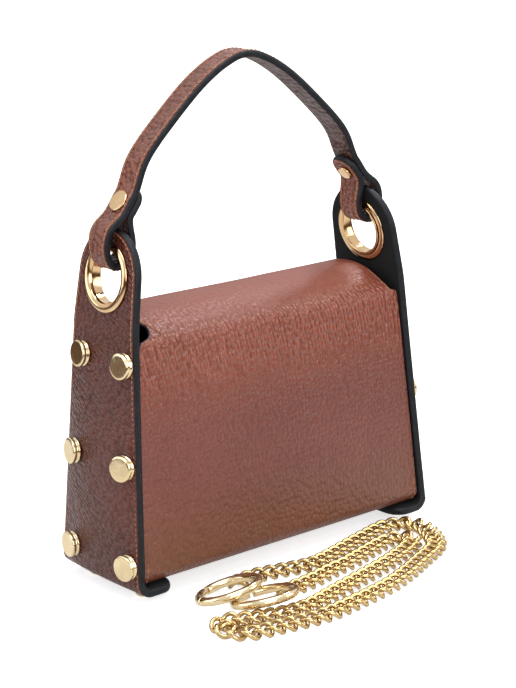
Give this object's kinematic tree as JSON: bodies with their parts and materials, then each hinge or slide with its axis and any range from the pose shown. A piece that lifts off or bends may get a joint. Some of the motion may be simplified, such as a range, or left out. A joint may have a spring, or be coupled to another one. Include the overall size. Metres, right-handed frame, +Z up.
{
  "type": "handbag",
  "caption": "Small boxy leather handbag with studded side panels, round eyelet tabs, a looped arched handle, a fold-over flap and a loose chain strap with gate rings.",
  "frame": {"origin": "on the floor under the middle of the bag, in the plane of its feet's flat bottoms", "axes": "+X along the bag from its left side panel to its right one, -Y out of the wrapped front, +Z up"},
  "size_m": [0.2234, 0.156, 0.2818],
  "materials": {
    "wrap_leather": "fine pebbled grain, soft sheen",
    "side_leather": "fine grain, soft sheen",
    "strap_leather": "grained, painted edges",
    "lining": "matte",
    "board": "matte",
    "steel": "plain",
    "gold": "polished, pale gold plate"
  },
  "bodies": {
    "bag": {"body_shell": "wrap_leather", "body_lining": "lining", "base_board": "board", "side_panel_left": "side_leather", "side_panel_right": "side_leather", "side_lining_left": "lining", "side_lining_right": "lining", "snap_stud": "steel", "eyelet_left": "gold", "eyelet_right": "gold", "eyelet_washer_left": "gold", "eyelet_washer_right": "gold", "stud_left_1": "gold", "stud_left_2": "gold", "stud_left_3": "gold", "stud_left_4": "gold", "stud_left_5": "gold", "stud_left_6": "gold", "stud_right_1": "gold", "stud_right_2": "gold", "stud_right_3": "gold", "stud_right_4": "gold", "stud_right_5": "gold", "stud_right_6": "gold", "stud_nut_left_1": "steel", "stud_nut_left_2": "steel", "stud_nut_left_3": "steel", "stud_nut_left_4": "steel", "stud_nut_left_5": "steel", "stud_nut_left_6": "steel", "stud_nut_right_1": "steel", "stud_nut_right_2": "steel", "stud_nut_right_3": "steel", "stud_nut_right_4": "steel", "stud_nut_right_5": "steel", "stud_nut_right_6": "steel", "foot_left_front": "gold", "foot_left_back": "gold", "foot_right_front": "gold", "foot_right_back": "gold", "foot_nut_left_front": "steel", "foot_nut_left_back": "steel", "foot_nut_right_front": "steel", "foot_nut_right_back": "steel"},
    "flap": {"flap_top": "wrap_leather"},
    "flap_end": {"flap_drop": "wrap_leather", "snap_socket": "steel"},
    "handle": {"handle_outer": "strap_leather", "handle_inner": "strap_leather", "handle_rivet_left": "gold", "handle_rivet_right": "gold", "handle_rivet_cap_left": "gold", "handle_rivet_cap_right": "gold"},
    "chain_strap": {"chain": "gold", "ring_body_1": "gold", "ring_pin_1": "gold", "ring_body_2": "gold", "ring_pin_2": "gold"},
    "gate_1": {"ring_gate_1": "gold"},
    "gate_2": {"ring_gate_2": "gold"}
  },
  "joints": [
    {"name": "flap_fold", "type": "hinge", "parent": "bag", "child": "flap", "pos_m": [0, -0.02625, 0.1388], "axis": [1, 0, 0], "range_deg": [0, 33]},
    {"name": "flap_end_fold", "type": "hinge", "parent": "flap", "child": "flap_end", "pos_m": [0, 0.03214, 0.1405], "axis": [1, 0, 0], "range_deg": [0, 120]},
    {"name": "handle_swing", "type": "hinge", "parent": "bag", "child": "handle", "pos_m": [0, 0, 0.1715], "axis": [1, 0, 0], "range_deg": [-40, 40]},
    {"name": "chain_slide", "type": "slide", "parent": "bag", "child": "chain_strap", "axis": [0, -1, 0], "range_m": [0, 0.12]},
    {"name": "gate_1_hinge", "type": "hinge", "parent": "chain_strap", "child": "gate_1", "pos_m": [-0.0697, -0.04574, 0.00251], "axis": [-0.144, 0.2669, 0.9529], "range_deg": [0, 25], "stiffness_Nm_per_rad": 0.1, "springref_deg": -17.19},
    {"name": "gate_2_hinge", "type": "hinge", "parent": "chain_strap", "child": "gate_2", "pos_m": [-0.05355, -0.06357, 0.00258], "axis": [-0.035, 0.2619, 0.9645], "range_deg": [0, 25], "stiffness_Nm_per_rad": 0.1, "springref_deg": -17.19}
  ]
}
